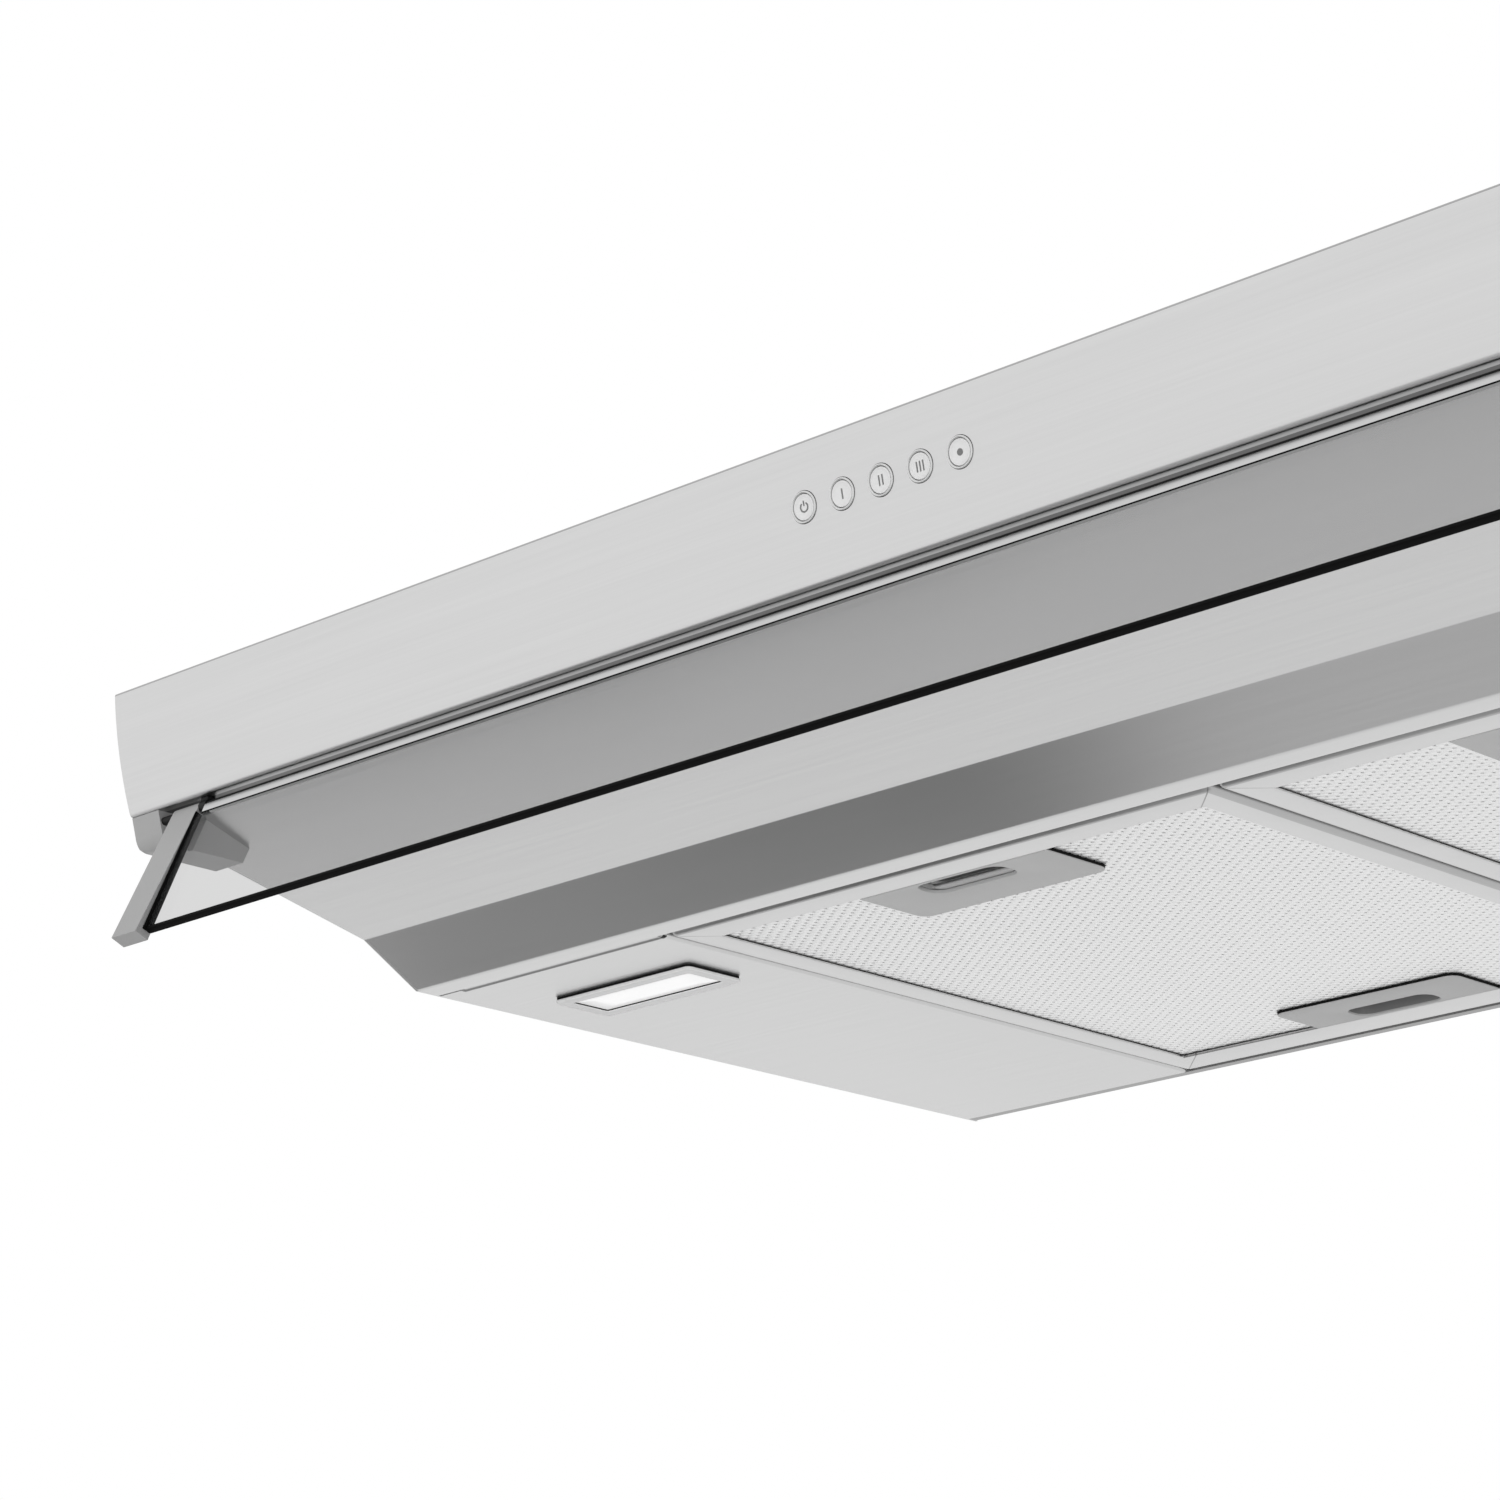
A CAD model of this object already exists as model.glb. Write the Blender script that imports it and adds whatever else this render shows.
"""A slim wall mount range hood, seen from below, in front and to its right.

Sizes are in millimetres: x from the middle, y from the wall (negative in front of it) and z up from
the flat underside, until placed() turns them into the frame's metres.
"""

import bmesh
import bpy
import numpy as np
from mathutils import Matrix


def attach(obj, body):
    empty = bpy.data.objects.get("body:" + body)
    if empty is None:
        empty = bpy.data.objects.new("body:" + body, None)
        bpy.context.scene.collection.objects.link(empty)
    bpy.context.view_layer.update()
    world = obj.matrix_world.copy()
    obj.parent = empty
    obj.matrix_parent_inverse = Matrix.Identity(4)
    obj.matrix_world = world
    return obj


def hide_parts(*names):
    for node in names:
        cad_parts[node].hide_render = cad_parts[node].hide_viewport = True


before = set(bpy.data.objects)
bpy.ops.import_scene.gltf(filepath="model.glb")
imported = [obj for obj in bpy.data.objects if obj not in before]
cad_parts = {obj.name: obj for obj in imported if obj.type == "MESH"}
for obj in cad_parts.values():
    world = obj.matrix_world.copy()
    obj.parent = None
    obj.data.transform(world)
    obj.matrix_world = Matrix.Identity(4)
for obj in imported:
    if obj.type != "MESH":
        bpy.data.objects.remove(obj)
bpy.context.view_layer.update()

# The camera looks up at the underside from the right end, at the photograph's angle.
camera_data = bpy.data.cameras.new("camera")
camera_data.lens = 100.3
camera_data.sensor_width = 36
camera = bpy.data.objects.new("camera", camera_data)
camera.matrix_world = Matrix(((0.72217, 0.22131, 0.65536, 0.8035),
                              (0.69160, -0.21350, -0.69000, -1.3888),
                              (-0.01278, 0.95155, -0.30724, -0.525),
                              (0, 0, 0, 1)))
bpy.context.collection.objects.link(camera)
bpy.context.scene.camera = camera
bpy.context.scene.view_settings.view_transform = "Standard"


# ---- Top casing and front deck ----
# The back wall and the raised motor section are one folded sheet of silver coated steel, and the low
# deck behind the fascia is a second one. Both are spot welded to the end plates.
HANG = 112
WIDTH, DEPTH = 760, 485
FRONT_H, REAR_H, REAR_D = 87, 147, 330
SHEET = 1
INNER = WIDTH / 2 - SHEET
FOLD_Y = -DEPTH + 14
UP, BACK = (0, 0, 1), (0, 1, 0)
BLOWER_D, OUTLET_FRONT, OUTLET_BACK = 180, -56 * np.sin(np.radians(20)), 76
DUCT_Y, DUCT_R = -BLOWER_D + (OUTLET_FRONT + OUTLET_BACK) / 2, 56.5
GLAND, GLAND_R = (245, -50), 8
CABINET_X, CABINET_Y, SCREW_R = (-300, 300), (-60, -260), 3
WALL_X, LOWER_WALL_Z = (-250, 250), 30
KEY_R, KEY_DROP, SLOT = 6, 12, 3


def placed(points):
    """Metres in the wall's frame: z is counted from the keyholes, HANG above the underside."""
    return (np.asarray(points, float) - [0, 0, HANG]) / 1000


def unit(v):
    """Each vector divided by its own length."""
    return v / np.linalg.norm(v, axis=-1, keepdims=True)


def bends(corners, radii, steps=7):
    """A line through the corners with each inner one turned on a radius r. The arc's centre is r / sin
    (half the corner's angle) from the corner on its bisector, and its points are a spherical blend of
    its ends."""
    p = np.asarray(corners, float)
    r = np.broadcast_to(np.asarray(radii, float), len(p) - 2)[:, None]
    back, ahead = unit(p[:-2] - p[1:-1]), unit(p[2:] - p[1:-1])
    half = np.arccos(np.clip((back * ahead).sum(1, keepdims=True), -1, 1)) / 2
    centre = p[1:-1] + unit(back + ahead) * r / np.sin(half)
    start = p[1:-1] + back * r / np.tan(half) - centre
    end = p[1:-1] + ahead * r / np.tan(half) - centre
    turn = (np.pi - 2 * half)[:, None]
    t = np.linspace(0, 1, steps)[None, :, None]
    arcs = (np.sin((1 - t) * turn) * start[:, None] + np.sin(t * turn) * end[:, None]) / np.sin(turn)
    return np.concatenate([p[:1], (centre[:, None] + arcs).reshape(-1, 2), p[-1:]])


def walled(line):
    """The closed outline of a sheet whose outside is the line: its other side is the line moved to the
    left by the sheet's thickness, along the mitre of the two neighbouring directions."""
    d = unit(np.diff(line, axis=0))
    d = np.concatenate([d[:1], d, d[-1:]])
    left = np.stack([-d[:, 1], d[:, 0]], -1)
    mitre = left[:-1] + left[1:]
    mitre /= (mitre * left[1:]).sum(1, keepdims=True)
    return np.concatenate([line, (line + mitre * SHEET)[::-1]])


def skin(rings, ends="capped"):
    """A surface through closed rings of equal counts (rings, points, 3): a quad joins each pair of points
    to the next ring's pair. The ends are capped, left open, or joined to each other (round)."""
    k, n = rings.shape[:2]
    i, j = np.meshgrid(np.arange(k if ends == "round" else k - 1), np.arange(n), indexing="ij")
    i1, j1 = (i + 1) % k, (j + 1) % n
    faces = [np.stack([i * n + j, i * n + j1, i1 * n + j1, i1 * n + j], -1).reshape(-1, 4)]
    if ends == "capped":
        faces.append(np.array([np.arange(n)[::-1], np.arange(n) + (k - 1) * n]))
    return (rings.reshape(-1, 3), *faces)


def carried(outline, start, end, axis=0):
    """A closed outline carried straight along an axis from start to end. Along X its points are (y, z),
    along Y (x, z) and along Z (x, y)."""
    outline = np.asarray(outline, float)
    rings = np.empty((2, len(outline), 3))
    rings[..., [a for a in range(3) if a != axis]] = outline
    rings[..., axis] = [[start], [end]]
    return skin(rings)


def block(low, high):
    """The outline of a rectangle carried from the low corner's z to the high corner's."""
    return carried([[low[0], low[1]], [high[0], low[1]], [high[0], high[1]], [low[0], high[1]]],
                   low[2], high[2], axis=2)


def revolved(profile, centre, axis, steps, ends="open"):
    """A profile of (radius, height) points turned round an axis through the centre: each point makes the
    ring centre + radius * (cos a, sin a, 0) + height * axis, in a frame with that axis as its third."""
    w = unit(np.asarray(axis, float))
    u = unit(np.cross(w, (0, 0, 1) if abs(w[2]) < 0.9 else (1, 0, 0)))
    v = np.cross(w, u)
    r, h = np.asarray(profile, float).T[:, :, None, None]
    a = np.linspace(0, 2 * np.pi, steps, endpoint=False)[None, :, None]
    return skin(np.asarray(centre, float) + r * (np.cos(a) * u + np.sin(a) * v) + h * w, ends)


def drill(radius, centre, axis, steps=24, reach=3):
    """A cylinder that cuts a round hole. It goes the reach to both sides of the centre."""
    return revolved([[0, -reach], [radius, -reach], [radius, reach], [0, reach]], centre, axis, steps)


def moved(shell, change):
    """The same faces on points that the given function has moved."""
    return (change(shell[0]), *shell[1:])


def smooth(mesh, sharp):
    """Smooth shading, with the edges above the sharp angle left crisp."""
    mesh.shade_smooth()
    mesh.set_sharp_from_angle(angle=np.radians(sharp))


def shown(name, mesh):
    """A new piece in the scene."""
    piece = bpy.data.objects.new(name, mesh)
    bpy.context.collection.objects.link(piece)
    return piece


def make(name, shells, sharp=32):
    """One mesh from several shells. Points that coincide are merged, which closes the poles, and all
    faces are turned outwards."""
    points = placed(np.concatenate([s[0] for s in shells]))
    first = np.cumsum([0] + [len(s[0]) for s in shells])
    faces = [f + n for (_, *groups), n in zip(shells, first) for f in groups]
    corners = np.concatenate([f.ravel() for f in faces])
    counts = np.concatenate([np.full(len(f), f.shape[1]) for f in faces])
    mesh = bpy.data.meshes.new(name)
    mesh.vertices.add(len(points))
    mesh.vertices.foreach_set("co", points.ravel())
    mesh.loops.add(len(corners))
    mesh.loops.foreach_set("vertex_index", corners)
    mesh.polygons.add(len(counts))
    mesh.polygons.foreach_set("loop_start", np.cumsum(counts) - counts)
    mesh.update(calc_edges=True)
    work = bmesh.new()
    work.from_mesh(mesh)
    bmesh.ops.remove_doubles(work, verts=work.verts, dist=1e-7)
    bmesh.ops.dissolve_degenerate(work, edges=work.edges, dist=1e-8)
    bmesh.ops.recalc_face_normals(work, faces=work.faces)
    work.to_mesh(mesh)
    work.free()
    smooth(mesh, sharp)
    return shown(name, mesh)


def cut(piece, shells, sharp=32):
    """Takes the shells' volume out of the piece. The shells don't overlap each other."""
    tool = make("tool", shells)
    change = piece.modifiers.new("cut", "BOOLEAN")
    change.operation, change.solver, change.object = "DIFFERENCE", "EXACT", tool
    graph = bpy.context.evaluated_depsgraph_get()
    mesh = bpy.data.meshes.new_from_object(piece.evaluated_get(graph))
    piece.modifiers.clear()
    piece.data = mesh
    smooth(mesh, sharp)
    bpy.data.objects.remove(tool)


def tone(levels):
    """The linear colour of an sRGB level from 0 to 255, or of three of them."""
    part = np.broadcast_to(levels, 3) / 255
    linear = np.where(part <= 0.04045, part / 12.92, ((part + 0.055) / 1.055) ** 2.4)
    return (*linear.tolist(), 1.0)


class Wire:
    """A shader value that can be written into sums: each operator adds one Math node."""

    def __init__(self, nodes, socket):
        self.nodes, self.socket = nodes, socket

    def math(self, operation, a, b=0.0):
        return self.nodes.add("ShaderNodeMath", {0: a, 1: b}, operation=operation)

    def __add__(self, other):
        return self.math("ADD", self, other)

    def __sub__(self, other):
        return self.math("SUBTRACT", self, other)

    def __rsub__(self, other):
        return self.math("SUBTRACT", other, self)

    def __mul__(self, other):
        return self.math("MULTIPLY", self, other)

    def __abs__(self):
        return self.math("ABSOLUTE", self)

    def below(self, other):
        return self.math("LESS_THAN", self, other)

    def above(self, other):
        return self.math("GREATER_THAN", self, other)

    def most(self, other):
        return self.math("MAXIMUM", self, other)

    __radd__ = __add__


class Nodes:
    """The shader nodes of a material or of the world. add() makes any node from its type, what its
    sockets get, and its settings, and gives one of its outputs."""

    def __init__(self, tree):
        self.tree = tree

    def plug(self, socket, value):
        if isinstance(value, Wire):
            self.tree.links.new(value.socket, socket)
        else:
            socket.default_value = value

    def add(self, kind, values=None, output=0, **settings):
        node = self.tree.nodes.new(kind)
        for name, value in settings.items():
            setattr(node, name, value)
        for name, value in (values or {}).items():
            self.plug(node.inputs[name], value)
        return Wire(self, node.outputs[output])

    def seen(self):
        """1 for the rays of the camera, gloss and glass, and 0 for those that light matt surfaces."""
        camera_ray, glossy, clear = (self.add("ShaderNodeLightPath", output=name) for name in
                                     ("Is Camera Ray", "Is Glossy Ray", "Is Transmission Ray"))
        return camera_ray.most(glossy.most(clear))


class Paint(Nodes):
    """A material. put() sets or links sockets of the surface's own shader. Where a method takes a
    colour, it is the output of a node, or levels for tone()."""

    def __init__(self, name, levels, roughness, **constants):
        self.material = bpy.data.materials.new(name)
        self.material.use_nodes = True
        super().__init__(self.material.node_tree)
        self.shader = self.tree.nodes["Principled BSDF"]
        self.put({"Base Color": tone(levels), "Roughness": roughness, **constants})

    def put(self, values):
        for name, value in values.items():
            self.plug(self.shader.inputs[name], value)

    def place(self, scale=(1, 1, 1)):
        """Object coordinates in metres, stretched."""
        here = self.add("ShaderNodeTexCoord", output="Object")
        return self.add("ShaderNodeMapping", {"Vector": here, "Scale": scale})

    def along(self, axis):
        """The distance in millimetres along X or Y, or the height above the flat underside."""
        part = self.add("ShaderNodeSeparateXYZ", {0: self.place()}, axis) * 1000
        return part + HANG if axis == "Z" else part

    def clouds(self, cells, detail=2.0, rough=0.5):
        """Noise from 0 to 1, with so many cells per metre, the same or one number for each axis."""
        scale = np.broadcast_to(cells, 3).tolist()
        return self.add("ShaderNodeTexNoise", {"Vector": self.place(scale), "Scale": 1.0,
                                               "Detail": detail, "Roughness": rough}, "Fac")

    def mix(self, share, a, b):
        """Colour a where the share is 0, colour b where it is 1."""
        a, b = (colour if isinstance(colour, Wire) else tone(colour) for colour in (a, b))
        return self.add("ShaderNodeMix", {0: share, 6: a, 7: b}, 2, data_type="RGBA")

    def mottle(self, cells, a, b, detail=2.0, rough=0.5):
        """Makes the surface's colour wander between two colours, by a noise that it gives back."""
        noise = self.clouds(cells, detail, rough)
        self.put({"Base Color": self.mix(noise, a, b)})
        return noise

    def bump(self, height, distance):
        """Feeds the height, in units of the distance in metres, to the surface's normal."""
        self.put({"Normal": self.add("ShaderNodeBump", {"Height": height, "Distance": distance,
                                                        "Strength": 1.0})})


def coated_steel(name, level, roughness):
    """Silver coated sheet: a soft metal sheen, faint roll lines along X and slow clouds in its tone."""
    paint = Paint(name, level, roughness, Metallic=0.9)
    lines = paint.clouds((12, 420, 420), 2, 0.6)
    cloud = paint.clouds(5)
    paint.colour = paint.mix(lines * 0.5 + cloud * 0.5, level - 7, level + 6)
    paint.put({"Base Color": paint.colour, "Roughness": roughness + (cloud - 0.5) * 0.08})
    paint.bump(lines, 0.00003)
    return paint


def fitted(piece, body, slot, paint, *nodes):
    """Gives a piece its material, its body, its slot, and the CAD nodes that it stands for."""
    piece.data.materials.clear()
    piece.data.materials.append(paint.material)
    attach(piece, body)
    if nodes:
        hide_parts(*nodes)


silver_sheet = coated_steel("silver_coated_sheet", 203, 0.38)
low_edge = silver_sheet.along("Z").below(4)
silver_sheet.put({"Base Color": silver_sheet.mix(low_edge, silver_sheet.colour, 152)})
casing_line = bends([[-6, 0], [0, 0], [0, REAR_H], [-REAR_D, REAR_H]], 1.8)
casing = make("casing", [carried(walled(casing_line), -INNER, INNER)])
cut(casing, [drill(DUCT_R, (0, DUCT_Y, REAR_H), UP, 96), drill(GLAND_R, (*GLAND, REAR_H), UP, 48)]
    + [drill(SCREW_R, (x, y, REAR_H), UP) for x in CABINET_X for y in CABINET_Y]
    + [drill(SCREW_R, (x, 0, LOWER_WALL_Z), BACK) for x in WALL_X]
    + [drill(KEY_R, (x, 0, HANG - KEY_DROP), BACK, 32) for x in WALL_X])
slot_foot = SLOT - KEY_DROP
slot_line = bends([[-SLOT, slot_foot], [SLOT, slot_foot], [SLOT, SLOT], [-SLOT, SLOT],
                   [-SLOT, slot_foot]], 2.9)[1:-1]
cut(casing, [carried(slot_line + [x, HANG], -3, 3, axis=1) for x in WALL_X])
fitted(casing, "chassis", "steel_inner", silver_sheet, "top_casing")
deck_line = bends([[-REAR_D, REAR_H - SHEET], [-REAR_D, FRONT_H], [FOLD_Y, FRONT_H]], 2.0)
deck_wall = carried(walled(deck_line), -INNER, INNER)
fitted(make("deck", [deck_wall]), "chassis", "steel_inner", silver_sheet, "front_deck")


# ---- End plates ----
# Each end plate is a flat blank of brushed steel. Spot welds along its edges close it against the
# casing's folds and leave shallow round dimples. In front it stops inside the fascia's two folds.
FASCIA_LOW = (-475.7, 40.65)
CHAMFER = (-361, 15.6)
FLAT_D = 333.6
BAND_FRONT_Y = -466
BAND_FRONT_Z = CHAMFER[1] + np.tan(np.radians(12.7)) * (CHAMFER[0] - BAND_FRONT_Y)
FACE_MIDDLE, FACE_R = (-483.25, 63.25), 178
BEND_GAP = 0.8
SPOT_IN = 7
DIMPLE = [[0, -0.12], [1.6, -0.08], [2.2, 0.02], [2.2, 0.4], [0, 0.4]]


def mirrored(shell):
    """The same shell on the other end of the hood: x becomes -x."""
    return (shell[0] * [-1, 1, 1], *shell[1:])


SIDES = (("left", lambda shell: shell), ("right", mirrored))


def brushed_steel(name, level, roughness, grain, depth):
    """Metal with fine streaks along the grain's axis, of noise that is long along it and 1 to 6 mm wide
    across it. The depth scales their contrast."""
    paint = Paint(name, level, roughness, Metallic=1.0)
    fine = paint.clouds([9 if axis == grain else 950 for axis in "xyz"], 3, 0.65)
    broad = paint.clouds([2.5 if axis == grain else 160 for axis in "xyz"])
    streaks = fine * 0.65 + broad * 0.35
    paint.colour = paint.mix(streaks, level - 17 * depth, level + 15 * depth)
    paint.put({"Base Color": paint.colour, "Roughness": roughness + (streaks - 0.5) * (0.16 * depth)})
    paint.bump(fine, 0.00004 * depth)
    return paint


plate_steel = brushed_steel("brushed_steel_ends", 206, 0.34, "y", 0.7)
face_line = bends([(-DEPTH, FRONT_H), FACE_MIDDLE, FASCIA_LOW], FACE_R, 20)
plate_face = face_line + [SHEET, 0]
plate_face[0, 1] -= SHEET
plate_face[-1, 1] += SHEET + BEND_GAP
plate_outline = np.concatenate([
    [[0, 0], [0, REAR_H], [-REAR_D, REAR_H], [-REAR_D, FRONT_H], [FOLD_Y, FRONT_H],
     [FOLD_Y, FRONT_H - SHEET]],
    plate_face,
    [[FASCIA_LOW[0] + SHEET + BEND_GAP, FASCIA_LOW[1] + SHEET],
     [BAND_FRONT_Y, FASCIA_LOW[1] + SHEET], [BAND_FRONT_Y, BAND_FRONT_Z], CHAMFER, [-FLAT_D, 0]]])
plate_shell = carried(plate_outline, -WIDTH / 2, -INNER)
spots = [(y, z) for z in (SPOT_IN, REAR_H - SPOT_IN) for y in range(-310, 0, 60)] \
    + [(y, FRONT_H - SPOT_IN) for y in range(-460, -340, 55)] + [(-SPOT_IN, z) for z in (45, 100)]
for (side, flip), out in zip(SIDES, (-1, 1)):
    plate = make("end_plate_" + side[0], [flip(plate_shell)])
    cut(plate, [revolved(DIMPLE, (out * WIDTH / 2, y, z), (out, 0, 0), 16) for y, z in spots], 2)
    fitted(plate, "chassis", "steel_shell", plate_steel, "end_plate_" + side)


# ---- Front fascia ----
# A bowed strip of brushed stainless steel, folded back over the deck at its top edge and under the
# hood at its bottom edge, with five punched holes for the buttons. It covers the end plates' edges.
FASCIA_LEAN, FASCIA_BOW = 9.3, 1.5
FASCIA_TILT = np.arctan((DEPTH + FASCIA_LOW[0]) / (FRONT_H - FASCIA_LOW[1]))
OUT = np.array([0, -np.cos(FASCIA_TILT), -np.sin(FASCIA_TILT)])
BUTTON_DOWN, BUTTON_PITCH, BUTTON_HOLE_R = 21.5, 16.3, 5.05
BUTTON_SHARE = BUTTON_DOWN / (FRONT_H - FASCIA_LOW[1])
BUTTON_X = (np.arange(5) - 2) * BUTTON_PITCH
BUTTON_Y = -DEPTH + FASCIA_LEAN * BUTTON_SHARE \
    - FASCIA_BOW * 4 * BUTTON_SHARE * (1 - BUTTON_SHARE) / np.cos(FASCIA_TILT)
BUTTON_Z = FRONT_H - BUTTON_DOWN


def on_fascia(x):
    """The place of a button on the fascia."""
    return (x, BUTTON_Y, BUTTON_Z)


# The folded edges are darker than the face: the top one as a thin line, and the bottom one in two
# steps towards the hood. The bends take the place of the face's outermost points.
fascia_steel = brushed_steel("brushed_steel_fascia", 213, 0.32, "x", 0.45)
height = fascia_steel.along("Z")
under = height.below(FASCIA_LOW[1] + 0.12)
top_rim = height.above(FRONT_H - 1.1) * 0.6
under_tone = fascia_steel.mix(fascia_steel.along("Y").above(FASCIA_LOW[0] + 4.3), 162, 84)
face_tone = fascia_steel.mix(top_rim, fascia_steel.colour, 128)
fascia_steel.put({"Base Color": fascia_steel.mix(under, face_tone, under_tone)})
fascia_line = np.concatenate([bends([(FOLD_Y, FRONT_H), (-DEPTH, FRONT_H), face_line[2]], 1.1),
                              face_line[3:-3],
                              bends([face_line[-3], FASCIA_LOW, (BAND_FRONT_Y, FASCIA_LOW[1])], 2.3)])
fascia = make("fascia", [carried(walled(fascia_line), -INNER - SHEET, INNER + SHEET)])
cut(fascia, [drill(BUTTON_HOLE_R, on_fascia(x), OUT, 40, 4) for x in BUTTON_X])
fitted(fascia, "chassis", "steel_shell", fascia_steel, "front_fascia")


# ---- Lower canopy ----
# One folded sheet of silver coated steel: the sloped band above the open visor, the chamfer, the
# flat strip in front of the filters and the flange that the filters' latches hook on.
LIP_BACK_Y, FLANGE_H = -321.6, 12
canopy_paint = coated_steel("silver_coated_canopy", 200, 0.24)
canopy_line = bends([[BAND_FRONT_Y, BAND_FRONT_Z + 8], [BAND_FRONT_Y, BAND_FRONT_Z], CHAMFER, [-FLAT_D, 0],
                     [LIP_BACK_Y, 0], [LIP_BACK_Y, FLANGE_H]], [2.2, 3, 4, 1.4], 9)
canopy = make("canopy", [carried(walled(canopy_line), -INNER, INNER)])
fitted(canopy, "chassis", "steel_inner", canopy_paint, "lower_canopy")


# ---- Lamp panels and filter divider ----
# A flat panel of the same sheet closes the underside beside each filter. A shallow pressed joint
# runs along its front edge, its inner edge is folded up, and it is cut out for the lamp.
PANEL_X, PANEL_BACK_Y, JOINT_X = 256.25, -6, 367.4
LAMP = np.array([314.2, -272.0])
CUT_W, CUT_L = 65.7, 21.2


def kept(paint, *nodes):
    """A better material on CAD nodes that stay as they are."""
    for node in nodes:
        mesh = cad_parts[node].data
        mesh.materials.clear()
        mesh.materials.append(paint.material)


panel_fold = bends([[-INNER, 0], [-PANEL_X, 0], [-PANEL_X, FLANGE_H]], 1.5)
panel_shell = carried(walled(panel_fold), LIP_BACK_Y, PANEL_BACK_Y, axis=1)
back_flange = block((-PANEL_X - SHEET, PANEL_BACK_Y, SHEET), (-PANEL_X, -SHEET, FLANGE_H))
joint_line = np.array([[-1, -1], [4.0, -1], [1.5, 0.55], [0.3, 0.55], [0.3, 2], [-1, 2]]) + [LIP_BACK_Y, 0]
joint = carried(joint_line, -JOINT_X, -PANEL_X - 2.6)
joint_end = block((-PANEL_X - 2.4, LIP_BACK_Y + 0.3, -1), (-PANEL_X - 0.2, LIP_BACK_Y + 2.5, 3))
lamp_hole = block((-LAMP[0] - CUT_W / 2, LAMP[1] - CUT_L / 2, -1),
                  (-LAMP[0] + CUT_W / 2, LAMP[1] + CUT_L / 2, 2))
for side, flip in SIDES:
    panel = make("lamp_panel_" + side[0], [flip(panel_shell), flip(back_flange)])
    cut(panel, [flip(joint), flip(joint_end), flip(lamp_hole)], 18)
    fitted(panel, "chassis", "steel_inner", canopy_paint, "lamp_panel_" + side)
kept(silver_sheet, "filter_divider")


# ---- Grease filters ----
# Each filter is a cassette of satin aluminium: four rolled channels mitred at the corners around two
# layers of expanded mesh. A grey plastic plate holds the latch at its front, and one like it is at
# its back. The latch lip slides back against a spring to free the tongue from the canopy's flange.
FILTER_X, FILTER_W = -128.35, 254.2
FILTER_FRONT, FILTER_BACK = -320.0, -6.6
BORDER, SIDE_BORDER, BACK_BORDER = 15, 13.2, 20
CASE_FRONT, PULL_BACK = FILTER_FRONT + BORDER, FILTER_BACK - BACK_BORDER
CASE_L, PULL_L, PLATE_HALF = 36, 31, 44
POCKET_L, POCKET_HALF, POCKET_R = 14, 20, 5.5
LIP_HALF, TONGUE_HALF, LIP_Z = 26, 12, (1.6, 3.4)
MESH_CELLS, MESH_TUCK, MESH_Z, MESH_STEP = (39, 64), 5.2, 1.7, 1.7


def round_corners(x0, y0, x1, y1, radii):
    """A rectangle's outline with its own radius at each corner, counted anticlockwise from (x0, y0).
    Each corner is a quarter circle of six points, so such rings can be skinned together."""
    r = np.maximum(np.broadcast_to(np.asarray(radii, float), 4), 1e-3)[:, None]
    corner = np.array([[x0, y0], [x1, y0], [x1, y1], [x0, y1]], float)
    inward = np.array([[1, 1], [-1, 1], [-1, -1], [1, -1]])
    a = np.radians([[180], [270], [0], [90]]) + np.linspace(0, np.pi / 2, 6)[None]
    ring = (corner + inward * r)[:, None] + r[:, None] * np.stack([np.cos(a), np.sin(a)], -1)
    return ring.reshape(-1, 2)


def stacked(rings, ends="round"):
    """A skin through rings of equal counts, each given as its (x, y) outline and its z."""
    return skin(np.array([np.column_stack([ring, np.full(len(ring), z)]) for ring, z in rings]), ends)


def filter_ring(inset, z, radius, window=False):
    """The filter's outline, or its window's, moved inwards by the inset."""
    side, front, back = (SIDE_BORDER, BORDER, BACK_BORDER) if window else (0, 0, 0)
    return round_corners(FILTER_X - FILTER_W / 2 + side + inset, FILTER_FRONT + front + inset,
                         FILTER_X + FILTER_W / 2 - side - inset, FILTER_BACK - back - inset, radius), z


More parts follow.
